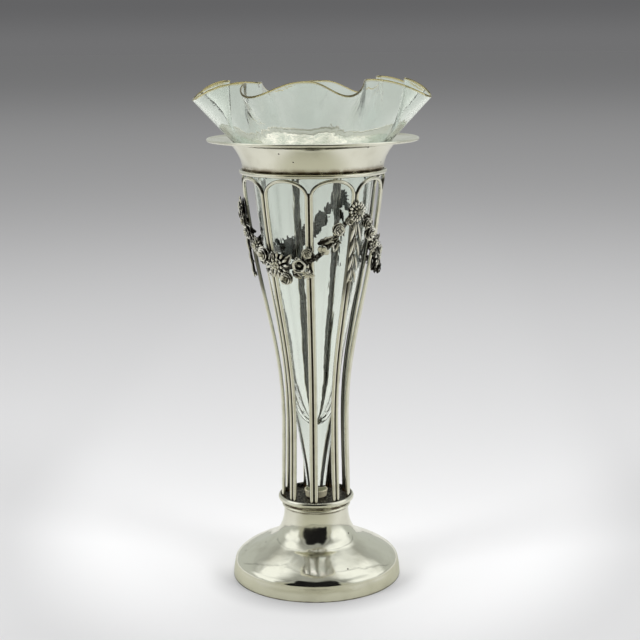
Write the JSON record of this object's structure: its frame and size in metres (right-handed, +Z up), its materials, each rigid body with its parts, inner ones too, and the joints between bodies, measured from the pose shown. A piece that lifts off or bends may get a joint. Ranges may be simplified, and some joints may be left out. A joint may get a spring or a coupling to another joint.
{
  "type": "stem vase",
  "caption": "Tall flute vase: a silver-plated wire cage on a domed foot, hung with cast floral swags, holding a lift-out clear glass liner with a crimped rim.",
  "frame": {"origin": "middle of the underside of the foot, on the vase's axis", "axes": "+Z up along the vase's axis; the front of the vase, with one post of wires in the middle, faces -Y"},
  "size_m": [0.0982, 0.0931, 0.215],
  "materials": {
    "silver_plate": "polished silver plate with light tarnish",
    "silver_wire": "polished silver-plated wire",
    "cast_silver": "cast silver plate, oxidised in the recesses",
    "clear_glass": "clear blown glass, faintly grey-green at the edges",
    "plaster": "cast plaster filling",
    "baize": "green baize"
  },
  "bodies": {
    "frame": {"foot_shell": "silver_plate", "foot_loading": "plaster", "base_pad": "baize", "base_dish": "silver_plate", "glass_socket": "silver_plate", "arch_wire_1": "silver_wire", "arch_wire_2": "silver_wire", "arch_wire_3": "silver_wire", "arch_wire_4": "silver_wire", "arch_wire_5": "silver_wire", "arch_wire_6": "silver_wire", "arch_wire_7": "silver_wire", "arch_wire_8": "silver_wire", "arch_wire_9": "silver_wire", "upper_ring": "silver_plate", "collar": "silver_plate", "rosette_1": "cast_silver", "rosette_2": "cast_silver", "rosette_3": "cast_silver", "husk_drop_1": "cast_silver", "husk_drop_2": "cast_silver", "husk_drop_3": "cast_silver", "swag_1": "cast_silver", "swag_2": "cast_silver", "swag_3": "cast_silver"},
    "liner": {"glass_liner": "clear_glass"}
  },
  "joints": [
    {"name": "liner_lift", "type": "slide", "parent": "frame", "child": "liner", "axis": [0, 0, 1], "range_m": [0, 0.165]}
  ]
}
